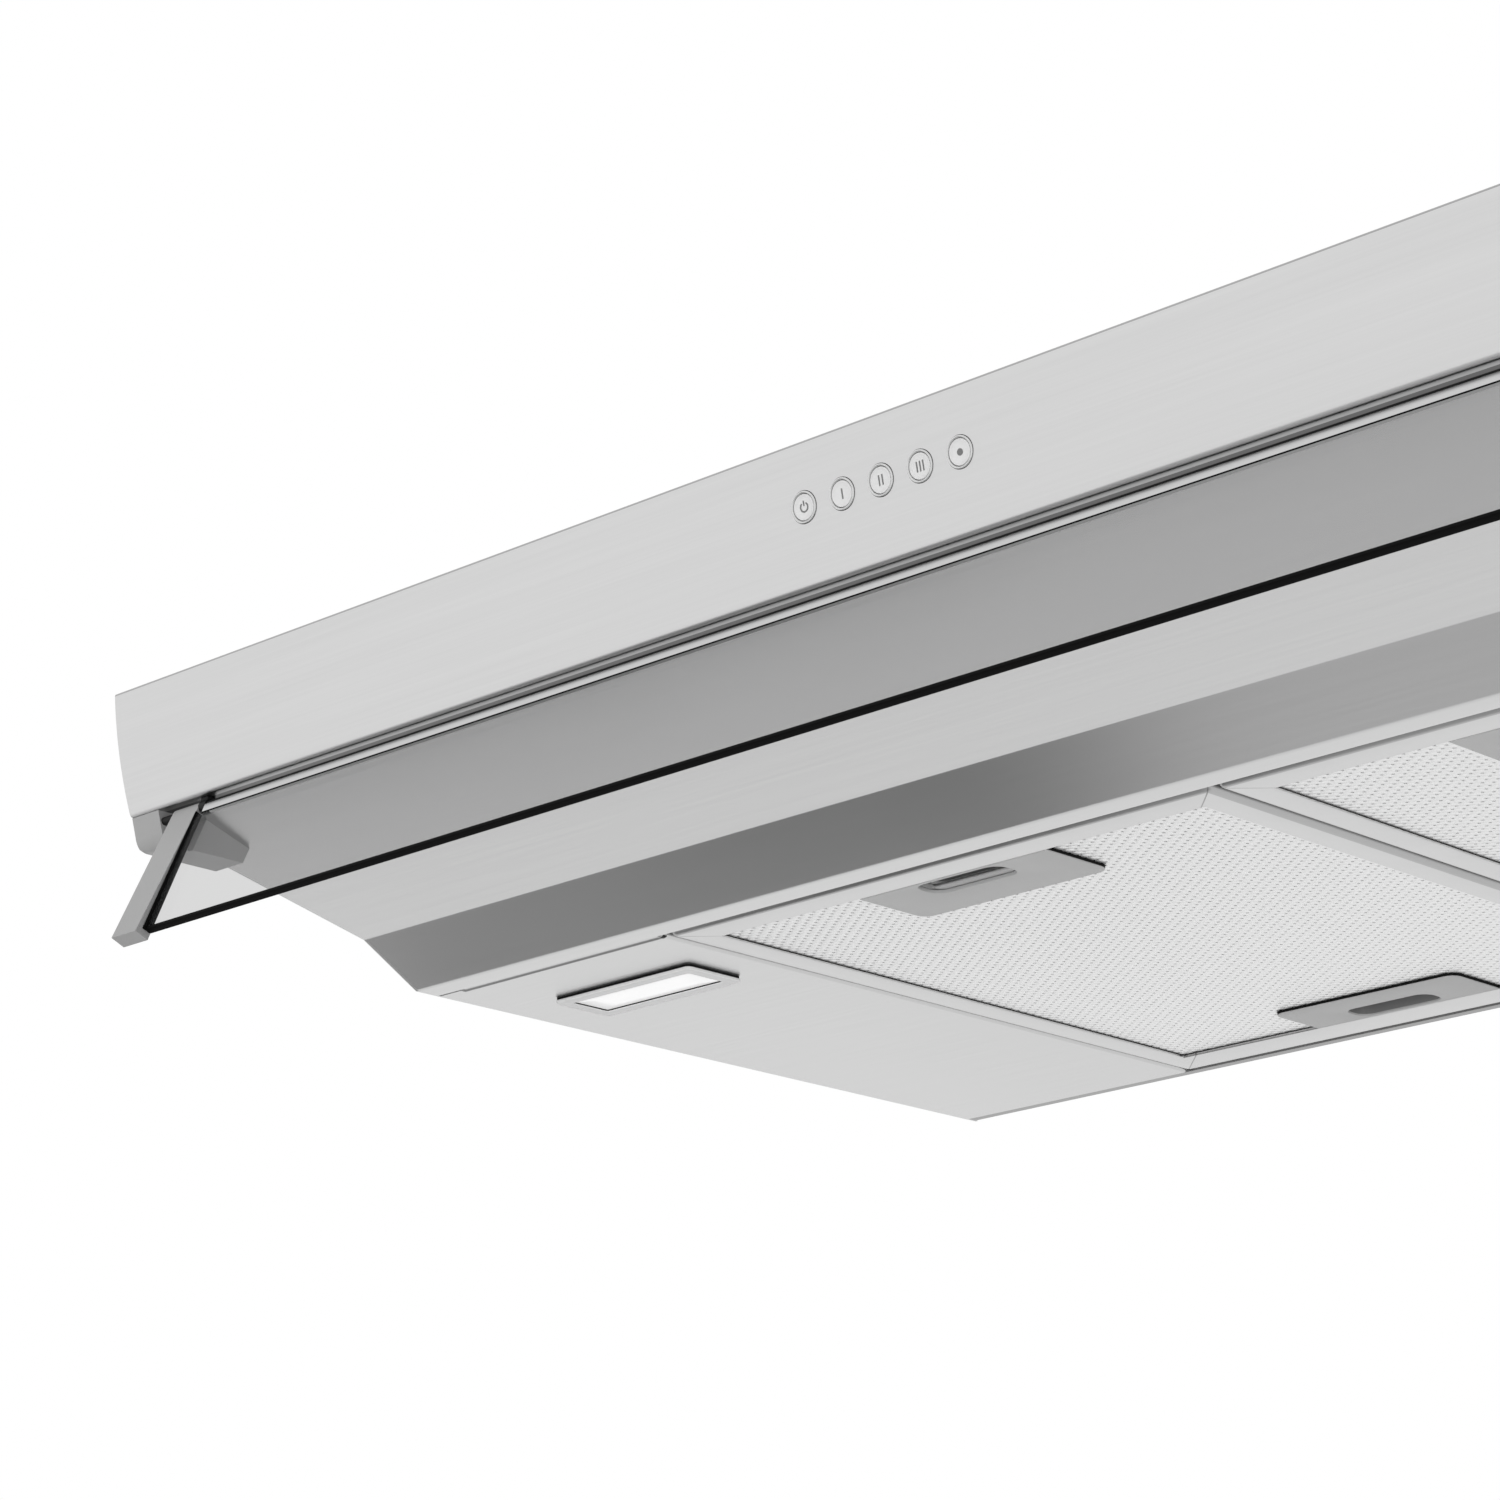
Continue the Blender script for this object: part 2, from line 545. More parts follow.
def mesh_layer(cells, low, high, opening, tilt):
    """Expanded metal: diamonds (half a cell wide each way) sit on the points and the middles of a grid of
    cells, and the strands between neighbouring diamonds are quads. A strand's two long edges are at
    different heights, by the tilt, as slitting and stretching leave them."""
    nx, ny = cells
    size = np.array([(high[0] - low[0]) / nx, (high[1] - low[1]) / ny])
    i, j = np.meshgrid(np.arange(2 * nx + 1), np.arange(2 * ny + 1), indexing="ij")
    on = ((i + j) % 2 == 0) & (i > 0) & (i < 2 * nx) & (j > 0) & (j < 2 * ny)
    number = np.full(i.shape, -1)
    number[on] = np.arange(on.sum())
    centre = np.stack([i[on], j[on]], -1) * size / 2 + np.asarray(low)
    reach = size / 2 * opening
    corner = np.array([[1, 0], [0, 1], [-1, 0], [0, -1]]) * reach
    points = np.empty((len(centre), 4, 3))
    points[..., :2] = centre[:, None] + corner
    points[..., 2] = np.array([0, tilt, 0, -tilt])
    faces = []
    for di, dj, pairs in ((1, 1, ((0, 1), (3, 2))), (-1, 1, ((1, 2), (0, 3)))):
        here = number[max(0, -di):i.shape[0] - max(0, di), :-1]
        there = number[max(0, di):i.shape[0] - max(0, -di), 1:]
        both = (here >= 0) & (there >= 0)
        a, b = here[both] * 4, there[both] * 4
        faces.append(np.stack([a + pairs[0][0], b + pairs[1][0], b + pairs[1][1], a + pairs[0][1]], -1))
    knots = number[1:-1, 1:-1]
    empty = knots < 0
    left, right = number[:-2, 1:-1][empty], number[2:, 1:-1][empty]
    lower, upper = number[1:-1, :-2][empty], number[1:-1, 2:][empty]
    whole = (left >= 0) & (right >= 0) & (lower >= 0) & (upper >= 0)
    faces.append(np.stack([left * 4, lower * 4 + 1, right * 4 + 2, upper * 4 + 3], -1)[whole])
    return points.reshape(-1, 3), np.concatenate(faces)


def latch_plate(edge, end, pocket_low, pocket_high):
    """A flush plate from the window's edge to its end over the mesh, where its corners are round, with a
    deep finger recess. Its skin runs up its side, over its edge, across its face and into the recess.
    With it come a dark skirt round it and a dark block above the recess."""
    radii = np.array([0.4, 0.4, 5, 5] if end > edge else [5, 5, 0.4, 0.4])
    y0, y1 = min(edge, end), max(edge, end)

    def plate(inset, z):
        return round_corners(FILTER_X - PLATE_HALF + inset, y0 + inset, FILTER_X + PLATE_HALF - inset,
                             y1 - inset, np.maximum(radii - inset, 0.2)), z

    def pocket(grow, z):
        return round_corners(FILTER_X - POCKET_HALF - grow, pocket_low - grow,
                             FILTER_X + POCKET_HALF + grow, pocket_high + grow, POCKET_R + grow), z

    face = [plate(0.1, 0.5), plate(0.1, 0.3), plate(0.2, 0.1), plate(0.5, 0.0), pocket(0.6, 0.0),
            pocket(0.2, 0.15), pocket(0, 0.7), pocket(-0.4, 5.6), pocket(-2.2, 6.9), pocket(-5, 7.3)]
    rear = [pocket(-5, 7.9), plate(2, 7.9), plate(2, 0.5)]
    skirt = [plate(0.02, 0.5), plate(0.02, 3.2), plate(1.2, 3.2), plate(1.2, 0.5)]
    return stacked(face + rear), stacked(skirt), stacked([pocket(-1, 7.0), pocket(-1, 7.6)], "capped")


# The frame's paint has a mitre line at the corners, where a point is equally far from both edges, and
# a darker roll along its outer edge. Both distances are negative inside the frame's outline.
filter_alloy = Paint("satin_filter_alloy", 196, 0.36, Metallic=1.0)
edge_x = abs(abs(filter_alloy.along("X")) + FILTER_X) - FILTER_W / 2
edge_y = abs(filter_alloy.along("Y") - (FILTER_FRONT + FILTER_BACK) / 2) + (FILTER_FRONT - FILTER_BACK) / 2
mitre = abs(edge_x - edge_y).below(0.32)
outer_roll = edge_x.most(edge_y).above(-2.4) * 0.55
satin = filter_alloy.clouds(60, 3, 0.6)
face_tone = filter_alloy.mix(outer_roll, filter_alloy.mix(satin, 197, 209), 150)
filter_alloy.put({"Base Color": filter_alloy.mix(mitre, face_tone, 142), "Roughness": 0.28 + satin * 0.08})
filter_alloy.bump(1 - mitre, 0.0001)

strand_alloy = Paint("bright_mesh_alloy", 240, 0.45, Metallic=0.85)
strand_alloy.bump(strand_alloy.mottle(700, 228, 242, 2, 0.6), 0.00006)
shadow_black = Paint("black_felt", 20, 0.8, **{"Specular IOR Level": 0.1})
shadow_black.mottle(900, 14, 26)

# The plates' plastic is darker in the depth of their recesses.
latch_plastic = Paint("grey_latch_plastic", 188, 0.42)
grain = latch_plastic.clouds(2600)
height = latch_plastic.along("Z")
deep = height.above(4.5) + height.above(0.8) * latch_plastic.along("Y").above(-160)
latch_plastic.put({"Base Color": latch_plastic.mix(deep, latch_plastic.mix(grain, 181, 190), 120)})
latch_plastic.bump(grain, 0.00003)

outer_rows = [(0, 7.6, 3), (0, 2.6, 3), (0.3, 1.5, 2.9), (0.95, 0.7, 2.5), (1.8, 0.2, 2), (3, 0, 1.2)]
window_rows = [(-0.9, 0, 1.2), (-0.25, 0.15, 0.7), (0, 0.5, 0.5), (0, 1.1, 0.5), (-1.2, 1.1, 0.5),
               (-1.2, 8.2, 0.5), (-1.8, 8.9, 0.5)]
frame_shell = stacked([filter_ring(*row) for row in outer_rows]
                      + [filter_ring(*row, window=True) for row in window_rows]
                      + [filter_ring(1.4, 8.9, 2)])
channel_shell = stacked([filter_ring(inset, z, 0.5, window=True) for inset, z in
                         ((-1.1, 1.15), (-1.1, 3.2), (-0.5, 3.2), (-0.5, 1.15))])
case_shell, case_skirt, case_well = latch_plate(CASE_FRONT, CASE_FRONT + CASE_L,
                                                CASE_FRONT + 2, CASE_FRONT + 2 + POCKET_L)
pull_shell, pull_skirt, pull_well = latch_plate(PULL_BACK, PULL_BACK - PULL_L,
                                                PULL_BACK - 2 - POCKET_L, PULL_BACK - 2)

# The lip is a flat slider with a window for the finger, and its tongue reaches forward through the
# frame to the canopy's flange.
lip_ring = round_corners(FILTER_X - LIP_HALF, CASE_FRONT - 7.5, FILTER_X + LIP_HALF, CASE_FRONT + 20, 2)
window_edge = [(2.6, 1.6), (1.4, 1.75), (0.6, 2.1), (0.4, 2.5), (0.6, 3.0), (1.4, 3.4)]
lip_shell = stacked([(lip_ring, LIP_Z[1]), (lip_ring, LIP_Z[0])]
                    + [(round_corners(FILTER_X - POCKET_HALF, CASE_FRONT + 1, FILTER_X + POCKET_HALF,
                                      CASE_FRONT + 13 + grow, 1), z) for grow, z in window_edge])
tongue_line = np.array([[-TONGUE_HALF, 0], [TONGUE_HALF, 0], [TONGUE_HALF, -9.2], [9, -16.0], [-9, -16.0],
                        [-TONGUE_HALF, -9.2]])
tongue_shell = carried(tongue_line + [FILTER_X, CASE_FRONT - 0.3], *LIP_Z, axis=2)
lip_slot = block((FILTER_X - LIP_HALF - 0.3, CASE_FRONT - 1, 1.3),
                 (FILTER_X + LIP_HALF + 0.3, CASE_FRONT + 26.1, 3.7))
tongue_slot = block((FILTER_X - TONGUE_HALF - 0.3, FILTER_FRONT - 1, 1.3),
                    (FILTER_X + TONGUE_HALF + 0.3, FILTER_FRONT + 16, 3.7))

# Between the two layers of mesh lie a bright sheet, which stops short of the window's outer and rear
# edges, and a black one, which shows there as a line. None of them goes on behind the plates.
mesh_low = (FILTER_X - FILTER_W / 2 + SIDE_BORDER - MESH_TUCK, FILTER_FRONT + BORDER - MESH_TUCK)
mesh_high = (FILTER_X + FILTER_W / 2 - SIDE_BORDER + MESH_TUCK, FILTER_BACK - BACK_BORDER + MESH_TUCK)
points, faces = mesh_layer(MESH_CELLS, mesh_low, mesh_high, 0.29, 0.04)
x, y = points[faces].mean(1).T[:2]
clear = (abs(x - FILTER_X) > PLATE_HALF - 1) \
    | ((y > CASE_FRONT + CASE_L - 1) & (y < PULL_BACK - PULL_L + 1))
low_mesh = (points + [0, 0, MESH_Z], faces[clear])
top_mesh = moved(low_mesh, lambda p: p + [0, 0, MESH_STEP])
bright_sheet = block((mesh_low[0] + 6.2, mesh_low[1] + 3, 1.83),
                     (mesh_high[0] - 3, mesh_high[1] - 6.0, 2.0))
black_sheet = block((mesh_low[0] + 1, mesh_low[1] + 1, 2.9), (mesh_high[0] - 1, mesh_high[1] - 1, 3.0))
behind_plates = [block((FILTER_X - PLATE_HALF - 0.6, y0, 1), (FILTER_X + PLATE_HALF + 1.6, y1, 4))
                 for y0, y1 in ((FILTER_FRONT, CASE_FRONT + 34), (PULL_BACK - 33.4, FILTER_BACK))]
for side, flip in SIDES:
    body = "filter_" + side
    cassette = make("filter_frame_" + side[0], [flip(frame_shell)], 40)
    cut(cassette, [flip(tongue_slot)])
    fitted(cassette, body, "filter_alloy", filter_alloy, "filter_frame_" + side)
    front_mesh = make("mesh_front_" + side[0], [flip(low_mesh), flip(top_mesh)], 80)
    thick = front_mesh.modifiers.new("strand", "SOLIDIFY")
    thick.thickness, thick.offset = 0.0002, 0
    fitted(front_mesh, body, "filter_alloy", strand_alloy, "filter_mesh_" + side)
    back_mesh = make("mesh_back_" + side[0], [flip(bright_sheet)], 80)
    cut(back_mesh, [flip(b) for b in behind_plates])
    fitted(back_mesh, body, "filter_alloy", strand_alloy)
    felt_sheet = make("felt_sheet_" + side[0], [flip(black_sheet)])
    cut(felt_sheet, [flip(b) for b in behind_plates])
    fitted(felt_sheet, body, "black_plastic", shadow_black)
    skirts = make("mesh_skirts_" + side[0],
                  [flip(channel_shell), flip(case_skirt), flip(pull_skirt), flip(case_well)])
    fitted(skirts, body, "black_plastic", shadow_black)
    plates = make("latch_plates_" + side[0], [flip(case_shell), flip(pull_shell), flip(pull_well)], 50)
    cut(plates, [flip(lip_slot)])
    fitted(plates, body, "latch_plastic", latch_plastic, "latch_case_" + side)
    lip = make("latch_lip_" + side[0], [flip(lip_shell), flip(tongue_shell)], 50)
    fitted(lip, "latch_" + side, "latch_plastic", latch_plastic, "latch_slider_" + side)


# ---- Lamps ----
# A moulded light grey bezel stands 2 mm proud of each lamp panel on an undercut neck with a black
# gasket, and holds an opal diffuser in a black liner. A small board of light emitting chips closes
# its top, above the panel.
LAMP_W, LAMP_L, PROUD = 74.5, 30, 2.2


def lamp_skin(rows, ends="round"):
    """A skin through round rectangles about the left lamp's middle: rows of width, length, z, radius."""
    x, y = -LAMP[0], LAMP[1]
    return stacked([(round_corners(x - w / 2, y - l / 2, x + w / 2, y + l / 2, r), z)
                    for w, l, z, r in rows], ends)


def bezel_row(less, z, radius):
    """A row of the bezel's outline, made less wide and less long."""
    return LAMP_W - less, LAMP_L - less, z, radius


bezel_shell = lamp_skin([
    (CUT_W, CUT_L, 8.9, 1), (CUT_W, CUT_L, -0.05, 1), bezel_row(3.2, -0.1, 1.6), bezel_row(2.6, -0.85, 1.8),
    bezel_row(0.2, -0.92, 2.2), bezel_row(0, -1.1, 2.3), bezel_row(0.1, -1.5, 2.2),
    bezel_row(0.5, -2.0, 2), bezel_row(1.2, -PROUD, 1.8), (64.9, 20.4, -PROUD, 1.2),
    (63.9, 19.4, -1.95, 0.9), (63.5, 19.0, -1.5, 0.8), (63.5, 19.0, 8.9, 0.8)])
gasket_shell = lamp_skin([(CUT_W + 0.2, CUT_L + 0.2, -0.02, 1), bezel_row(0.8, -0.02, 2),
                          bezel_row(0.8, -0.95, 2), (CUT_W + 0.2, CUT_L + 0.2, -0.95, 1)])
liner_shell = lamp_skin([(63.6, 19.1, -1.7, 0.8), (63.6, 19.1, -0.6, 0.8),
                         (63.0, 18.5, -0.6, 0.7), (63.0, 18.5, -1.7, 0.7)])
lens_shell = lamp_skin([(63.1, 18.6, -0.5, 0.7), (63.1, 18.6, -0.8, 0.7), (62.6, 18.1, -0.8, 0.7),
                        (62.5, 18, -1.3, 0.7), (61.9, 17.4, -1.5, 0.6), (40, 8, -1.55, 0.5)], "capped")
lamp_trim = Paint("light_lamp_trim", 230, 0.35)
speckle = lamp_trim.clouds(1800)
flank = lamp_trim.along("Z").above(-2.1)
lamp_trim.put({"Base Color": lamp_trim.mix(flank, lamp_trim.mix(speckle, 226, 234), 247)})
lamp_trim.bump(speckle, 0.00002)
opal = Paint("opal_diffuser", 250, 0.25, **{"Emission Strength": 0.30})
opal.put({"Emission Color": opal.mix(opal.mottle(90, 246, 252), 244, 255)})
board_green = Paint("green_board", (40, 110, 70), 0.45)
board_green.mottle(2200, (34, 98, 62), (48, 124, 80))
for side, flip in SIDES:
    fitted(make("bezel_" + side[0], [flip(bezel_shell)], 38), "chassis", "lamp_trim", lamp_trim,
           "lamp_bezel_" + side)
    fitted(make("lens_" + side[0], [flip(lens_shell)], 50), "chassis", "lamp_diffuser", opal,
           "lamp_lens_" + side)
    fitted(make("lamp_gasket_" + side[0], [flip(gasket_shell), flip(liner_shell)]), "chassis",
           "black_plastic", shadow_black)
kept(board_green, "led_boards")


# ---- Visor ----
# A sheet of smoked glass hangs from an aluminium rail between two grey moulded arms, with a black
# rubber trim on its lower edge and black seals at its sides. It turns on two steel pins, which black
# clips hold near the fascia and grey housings hold at the ends of the hood.
HINGE = np.array([0, -471.9, 36.849])
OPEN = np.radians(23.4)
GLASS_L, TRIM_H, ARM_L = 54.5, 1.4, 58.4
SEAL_L = GLASS_L + TRIM_H
GLASS_Y, GLASS_TOP = (-2.2, 0.2), -3.2
GLASS_X, SEAL_X, ARM_X, RAIL_X = 341.2, 341.9, 357, 338.1
LOW_X = GLASS_X + 1.3
BEAD_R, ROOT_R, ARM_TAPER = 2.05, 2.35, 1.4
HOUSING_LEAN, HOUSING_EASE = 0.26, 9


def eased(piece, width, segments=2, angle=40):
    """Rounds the edges of a piece by a width in millimetres."""
    piece.data.shade_smooth()
    change = piece.modifiers.new("edges", "BEVEL")
    change.width, change.segments = width / 1000, segments
    change.limit_method, change.angle_limit = "ANGLE", np.radians(angle)
    change.harden_normals = True
    return piece


def dressed(node, width):
    """A merged copy of a CAD node's mesh, with its round faces smooth and its edges eased."""
    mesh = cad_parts[node].data.copy()
    mesh.materials.clear()
    work = bmesh.new()
    work.from_mesh(mesh)
    bmesh.ops.remove_doubles(work, verts=work.verts, dist=1e-6)
    bmesh.ops.dissolve_limit(work, angle_limit=np.radians(1), verts=work.verts, edges=work.edges)
    work.to_mesh(mesh)
    work.free()
    smooth(mesh, 30)
    return eased(shown(node + "_dressed", mesh), width)


def on_visor(points):
    """The visor's own frame, with its hinge at zero and z down along the glass, turned open."""
    x, y, z = points.T
    sine, cosine = np.sin(OPEN), np.cos(OPEN)
    return np.stack([x, y * cosine + z * sine, z * cosine - y * sine], -1) + HINGE


def visor_bar(outline, half):
    """An outline of (y, z) points in the visor's own frame, carried from -half to half along X."""
    return moved(carried(outline, -half, half), on_visor)


def arc(radius, degrees):
    """Points of a circle round zero at the given angles."""
    a = np.radians(degrees)
    return radius * np.stack([np.cos(a), np.sin(a)], -1)


def arm_front(s):
    """How far the arm stands in front of the glass's plane, from 2.4 at its root to 5.7 at its tip."""
    return -(2.4 + 3.3 * s / ARM_L)


def tapered(shell):
    """The arm's inner side and its seal lean outwards along the arm, by ARM_TAPER at its tip. The shell
    is in the visor's own frame, and only points inside the arm's outer face move."""
    x, y, z = shell[0].T
    return (np.stack([np.where(x > -ARM_X + 1, x + ARM_TAPER * z / ARM_L, x), y, z], -1), *shell[1:])


smoked = Paint("smoked_glass", (60, 61, 62), 0.04, Alpha=0.19, **{"Specular IOR Level": 0.35})
smoked.put({"Roughness": 0.03 + smoked.mottle(14, (56, 57, 58), (66, 67, 68), 3) * 0.04})
glass_outline = [[-RAIL_X, -2.3], [RAIL_X, -2.3], [RAIL_X, GLASS_TOP], [GLASS_X, GLASS_TOP],
                 [LOW_X, -GLASS_L], [-LOW_X, -GLASS_L], [-GLASS_X, GLASS_TOP], [-RAIL_X, GLASS_TOP]]
glass_shell = moved(carried(glass_outline, *GLASS_Y, axis=1), on_visor)
fitted(eased(make("visor_pane", [glass_shell]), 0.3), "visor", "smoked_glass", smoked, "visor_glass")

rail_alloy = brushed_steel("satin_rail", 203, 0.33, "x", 0.4)
rail_outline = [[-2.2, -0.6], [-2.4, -0.7], [-2.5, -0.9], [-2.5, -4.1], [-2.4, -4.25], [-2.25, -4.25],
                [-2.25, -2.2], [1.2, -2.2], [1.4, -2.0], [1.4, -0.6]]
fitted(make("rail", [visor_bar(rail_outline, RAIL_X)], 40), "visor", "rail_alloy", rail_alloy,
       "visor_rail")

black_rubber = Paint("black_rubber", 5, 0.7, **{"Specular IOR Level": 0.08})
black_rubber.bump(black_rubber.mottle(1500, 3, 9), 0.00003)
trim_outline = round_corners(-2.5, -SEAL_L, 0.5, -GLASS_L, [0.6, 0.6, 0.1, 0.1])
fitted(make("edge_trim", [visor_bar(trim_outline, LOW_X)]), "visor", "black_rubber", black_rubber,
       "visor_edge_trim")
lip_seal = visor_bar(round_corners(-2.48, -4.85, -2.2, -4.25, 0.1), RAIL_X)
fitted(make("lip_seal", [lip_seal]), "visor", "black_rubber", black_rubber)
seal_outline = [[0.2, -3.3], [0.2, -SEAL_L], [-3.6, -SEAL_L], [-2.9, -3.3]]
seal_shell = moved(tapered(carried(seal_outline, -SEAL_X, -GLASS_X)), on_visor)
seals = eased(make("side_seals", [seal_shell, mirrored(seal_shell)]), 0.35)
fitted(seals, "visor", "black_rubber", black_rubber, "visor_side_seals")

# The housings lean back with the fascia: their points in front of the band move towards the wall,
# the more the lower they are.
grey_plastic = Paint("grey_moulded_plastic", 164, 0.40)
pores, flow = grey_plastic.clouds(2300), grey_plastic.clouds((25, 60, 60))
grey_plastic.put({"Base Color": grey_plastic.mix(pores * 0.5 + flow * 0.5, 160, 171)})
grey_plastic.bump(pores, 0.00004)
arm_outline = np.concatenate([arc(ROOT_R, np.linspace(0, 180, 13)),
                              [[arm_front(2), -2], [arm_front(ARM_L), -ARM_L], [0.6, -ARM_L],
                               [0.6, -GLASS_L], [0.2, -GLASS_L], [0.2, -3]]])
arm_shell = moved(tapered(carried(arm_outline, -ARM_X, -SEAL_X)), on_visor)
for side, flip in SIDES:
    arm = eased(make("visor_arm_" + side[0], [flip(arm_shell)]), 0.9, 3, 35)
    fitted(arm, "visor", "grey_plastic", grey_plastic, "visor_arm_" + side)
    housing = dressed("hinge_housing_" + side, 0.7)
    points = np.empty(3 * len(housing.data.vertices))
    housing.data.vertices.foreach_get("co", points)
    points = points.reshape(-1, 3) * 1000 + [0, 0, HANG]
    front = np.clip((BAND_FRONT_Y - points[:, 1]) / HOUSING_EASE, 0, 1)
    points[:, 1] += HOUSING_LEAN * front * (FASCIA_LOW[1] - points[:, 2])
    housing.data.vertices.foreach_set("co", placed(points).ravel())
    fitted(housing, "chassis", "grey_plastic", grey_plastic, "hinge_housing_" + side)

black_plastic = Paint("black_plastic", 14, 0.5, **{"Specular IOR Level": 0.25})
black_plastic.bump(black_plastic.mottle(1600, 10, 20), 0.00003)
fitted(dressed("visor_clips", 0.4), "chassis", "black_plastic", black_plastic, "visor_clips")
bead = make("rail_bead", [visor_bar(arc(BEAD_R, np.linspace(15, 270, 25)), RAIL_X)], 40)
fitted(bead, "visor", "black_plastic", black_plastic)
kept(black_plastic, "visor_pins")


# ---- Buttons ----
# Five round caps with dished faces sit in five plated rings, each over a thin dark gasket. Behind
# the fascia their stems run into one switch bank on a folded bracket.
def mark(outline, x):
    """A flat mark let into a cap's dish, from its outline in the cap's own plane (right, up)."""
    right, up = np.array([1.0, 0, 0]), np.cross(OUT, [1.0, 0, 0])
    return moved(carried(outline, -0.08, 0.02, axis=2),
                 lambda p: np.array(on_fascia(x)) + p[:, :1] * right + p[:, 1:2] * up + p[:, 2:] * OUT)


ring_plate = Paint("satin_plated_ring", 212, 0.26, Metallic=0.7)
ring_plate.mottle(700, 206, 220)
cap_plastic = Paint("light_button_plastic", 224, 0.30, Metallic=0.25)
cap_plastic.mottle(1400, 216, 225)
ink = Paint("grey_symbol_ink", 114, 0.5)
ink.mottle(1800, 106, 122)
zinc = Paint("zinc_plate", (178, 180, 182), 0.36, Metallic=0.9)
zinc.put({"Roughness": 0.28 + zinc.mottle(240, (160, 163, 166), (194, 196, 198), 3, 0.6) * 0.2})
ring_profile = [[4.45, -2.9], [4.95, -2.9], [4.95, 0], [5.25, 0], [5.25, 0.3], [5.1, 0.52], [4.9, 0.6],
                [4.7, 0.52], [4.5, 0.25], [4.45, 0.0]]
gasket_profile = [[5.2, 0], [5.38, 0], [5.42, 0.05], [5.38, 0.1], [5.2, 0.1]]
cap_profile = [[0, -0.08], [2.3, -0.07], [3.1, 0.02], [3.6, 0.17], [3.85, 0.27], [4.05, 0.28], [4.2, 0.18],
               [4.3, -0.05], [4.3, -2], [2.5, -2], [2.5, -9.2], [0, -9.2]]
fitted(make("rings", [revolved(ring_profile, on_fascia(x), OUT, 64, "round") for x in BUTTON_X], 50),
       "chassis", "button_ring", ring_plate, "button_rings")
fitted(make("gaskets", [revolved(gasket_profile, on_fascia(x), OUT, 64, "round") for x in BUTTON_X]),
       "chassis", "black_rubber", black_rubber)
sweep = np.linspace(125, 415, 28)
open_ring = np.concatenate([arc(1.75, sweep), arc(1.25, sweep[::-1])])
bar = np.array([[-0.25, -1.7], [0.25, -1.7], [0.25, 1.7], [-0.25, 1.7]])
marks = {"power": [open_ring, bar * [1, 0.5] + [0, 1.25]], "low": [bar],
         "mid": [bar - [0.7, 0], bar + [0.7, 0]], "high": [bar - [1.3, 0], bar, bar + [1.3, 0]],
         "light": [arc(1.15, np.arange(0, 360, 15))]}
for x, (button, outlines) in zip(BUTTON_X, marks.items()):
    cap = make("cap_" + button, [revolved(cap_profile, on_fascia(x), OUT, 64)], 40)
    fitted(cap, button + "_button", "button_cap", cap_plastic, "button_" + button)
    fitted(make("symbol_" + button, [mark(o, x) for o in outlines]), button + "_button", "button_cap", ink)
kept(black_plastic, "button_bank")
kept(zinc, "bank_bracket")


# ---- Blower and motor ----
# A black moulded scroll with a double inlet wheel hangs under the roof of the casing. Its motor is
# strapped to the scroll's side, with its capacitor beside it.
winding = Paint("varnished_winding", (150, 92, 62), 0.35, Metallic=0.5)
winding.mottle((1200, 120, 120), (126, 74, 48), (176, 112, 78))
white_plastic = Paint("white_plastic", 232, 0.42)
white_plastic.mottle(1500, 226, 238)
kept(black_plastic, "scroll_housing", "scroll_cover", "impeller")
kept(zinc, "motor_shaft", "motor_can", "motor_rotor", "motor_bearings", "motor_bracket")
kept(winding, "motor_stator")
kept(white_plastic, "capacitor", "led_driver")


# ---- Wiring and terminals ----
# A black box under the roof takes the supply cable through a moulded gland, and black insulated
# wires run from it to the motor, the lamps and the switch bank.
kept(black_plastic, "terminal_box", "terminal_cover")
kept(black_rubber, "wiring_loom")
fitted(dressed("cable_gland", 0.4), "chassis", "black_plastic", black_plastic, "cable_gland")


# ---- Duct collar ----
# A black moulded collar is held on the roof by four screws. Its two damper flaps turn on steel pins.
for node, body in (("duct_collar", "chassis"), ("damper_flap_front", "flap_front"),
                   ("damper_flap_back", "flap_back")):
    fitted(dressed(node, 0.3), body, "black_plastic", black_plastic, node)
kept(zinc, "case_screws")


# ---- Room ----
# A pale floor far below, a white surround, and two large soft lamps, one in front above the hood and
# one below it. The camera, gloss and glass see the floor and the surround as white, and matt surfaces
# get less light from them.
ROOM_LIGHT = 0.50
WHITE = (1, 1, 1, 1)


def soft_lamp(name, place, aim, size, power):
    """A large square lamp that lights matt surfaces and isn't seen in gloss."""
    data = bpy.data.lights.new(name, "AREA")
    data.size, data.energy = size, power
    lamp = shown(name, data)
    z = unit(np.array(place, float) - np.array(aim, float))
    x = unit(np.cross((0.1, 0.02, 1), z))
    y = np.cross(z, x)
    lamp.matrix_world = Matrix([[*row, p] for row, p in zip(np.stack([x, y, z], -1).tolist(), place)]
                               + [[0, 0, 0, 1]])
    lamp.visible_glossy = False


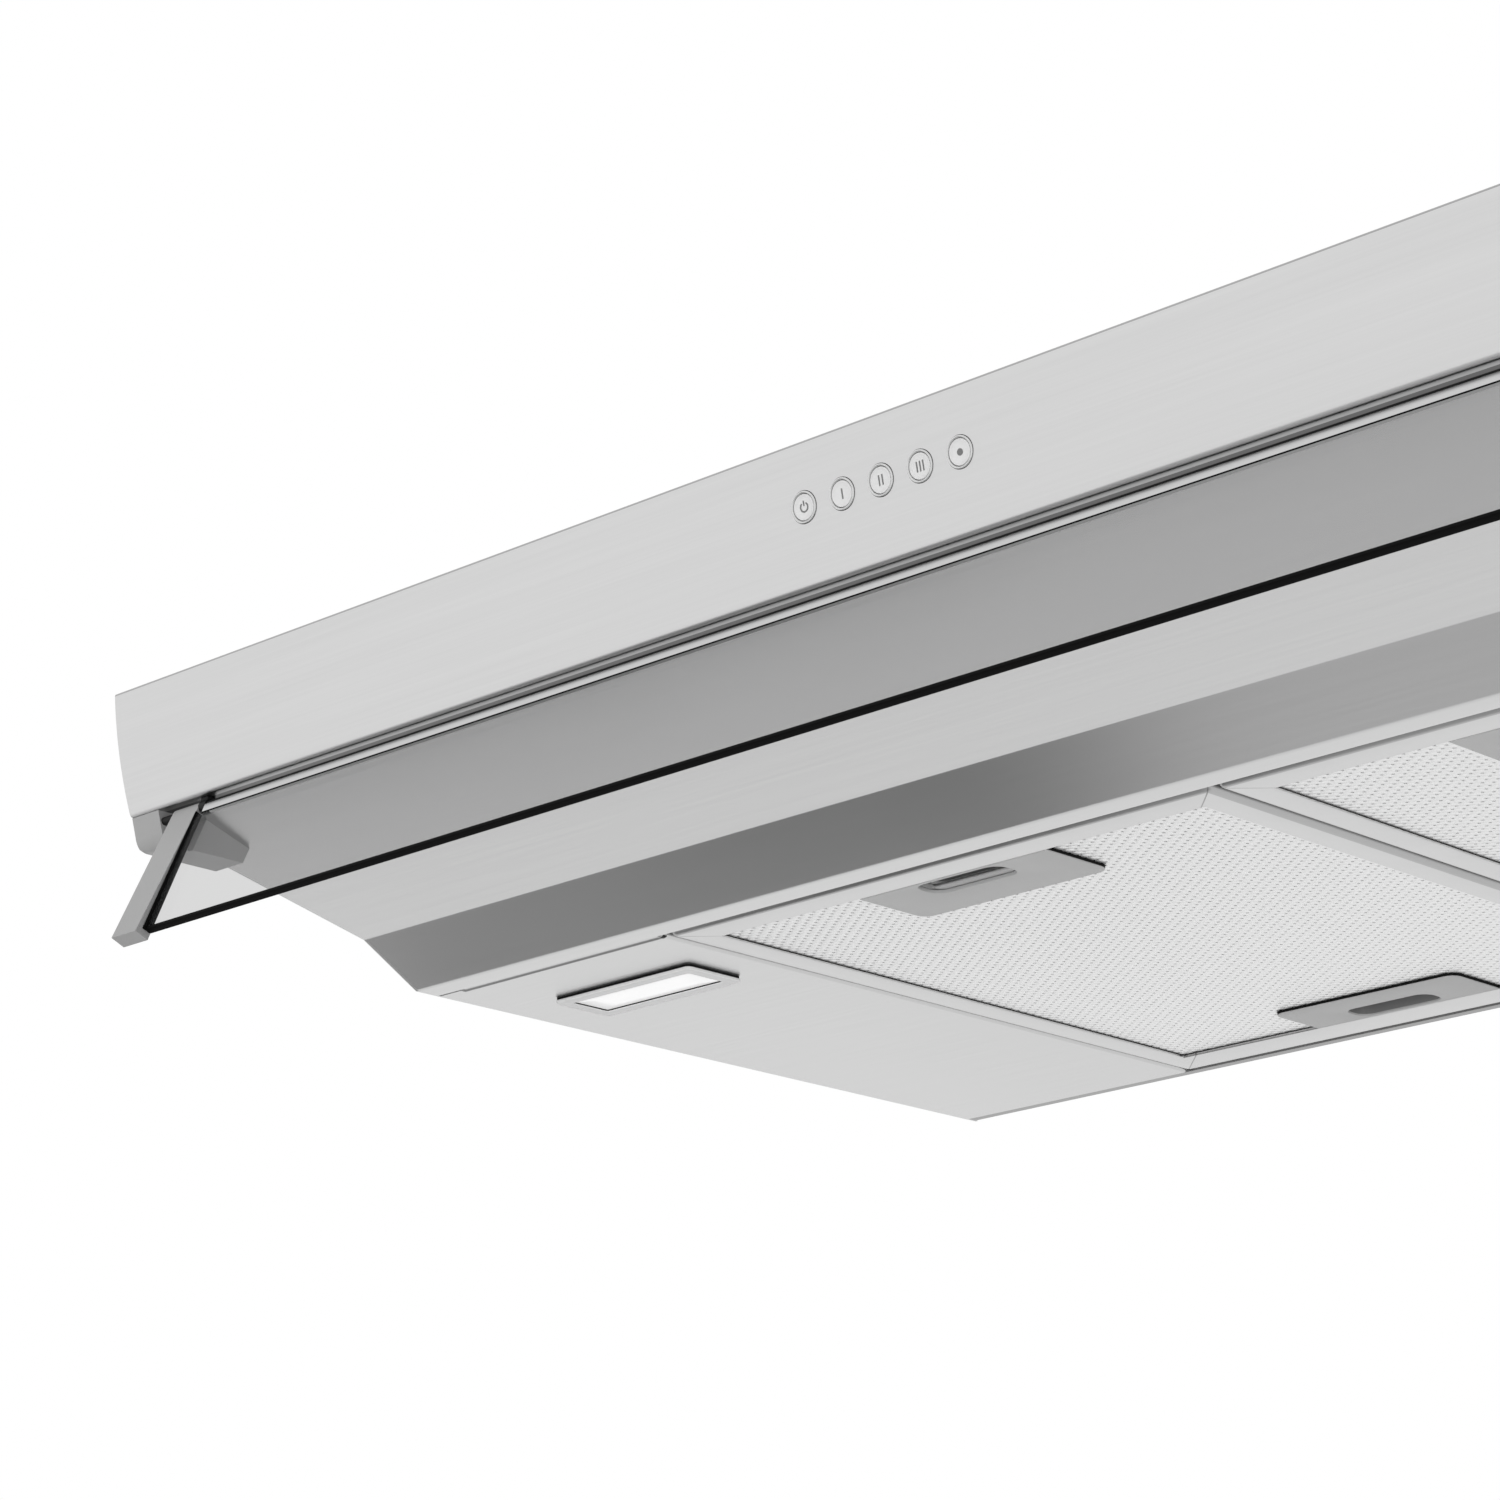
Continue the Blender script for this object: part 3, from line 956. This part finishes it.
def staged(name, shell, paint):
    """A piece of the room."""
    piece = make(name, [shell])
    piece.data.materials.append(paint.material)
    return piece


pale_floor = Paint("pale_floor", 225, 0.9)
white_light = pale_floor.add("ShaderNodeEmission", {"Color": WHITE, "Strength": 1.0})
matt_floor = Wire(pale_floor, pale_floor.shader.outputs[0])
both = pale_floor.add("ShaderNodeMixShader", {0: pale_floor.seen(), 1: matt_floor, 2: white_light})
floor_output = next(n for n in pale_floor.tree.nodes if n.type == "OUTPUT_MATERIAL")
pale_floor.plug(floor_output.inputs["Surface"], both)
staged("floor", block((-6000, -6500, -2610), (6000, 5000, -2600)), pale_floor)

world = bpy.data.worlds.new("white_room")
bpy.context.scene.world = world
world.use_nodes = True
surround = Nodes(world.node_tree)
level = surround.add("ShaderNodeMapRange", {"Value": surround.seen(), "To Min": ROOM_LIGHT, "To Max": 1.0})
background = surround.tree.nodes["Background"]
surround.plug(background.inputs["Strength"], level)
surround.plug(background.inputs["Color"], WHITE)
soft_lamp("front_lamp", (-0.9, -2.4, 0.6), (0, -0.3, 0), 1.6, 16)
soft_lamp("low_lamp", (0.5, -1.2, -1.0), (0, -0.25, 0), 1.8, 10)

# A card below the front of the hood is seen in gloss alone and gives the chamfer its tones. It is dark
# grey at its left, a little less so at its far left end, and lighter from a third of its length on.
card_paint = Paint("grey_card", 0, 1.0, **{"Specular IOR Level": 0.0})
across = card_paint.along("X")


def fade(start, end, low, high):
    """A value that eases from low to high between two places along the card."""
    return card_paint.add("ShaderNodeMapRange", {"Value": across, "From Min": start, "From Max": end,
                                                 "To Min": low, "To Max": high},
                          interpolation_type="SMOOTHSTEP")


card_light = fade(-430.0, -330.0, 0.18, 0.6) + fade(-760.0, -600.0, 0.1, 0.0)
card_paint.put({"Emission Color": card_paint.mix(card_light, 0, 255), "Emission Strength": 1.0})
card = staged("grey_card", block((-1000, -1200, -490), (500, -150, -488)), card_paint)
card.visible_camera = card.visible_diffuse = card.visible_shadow = card.visible_transmission = False
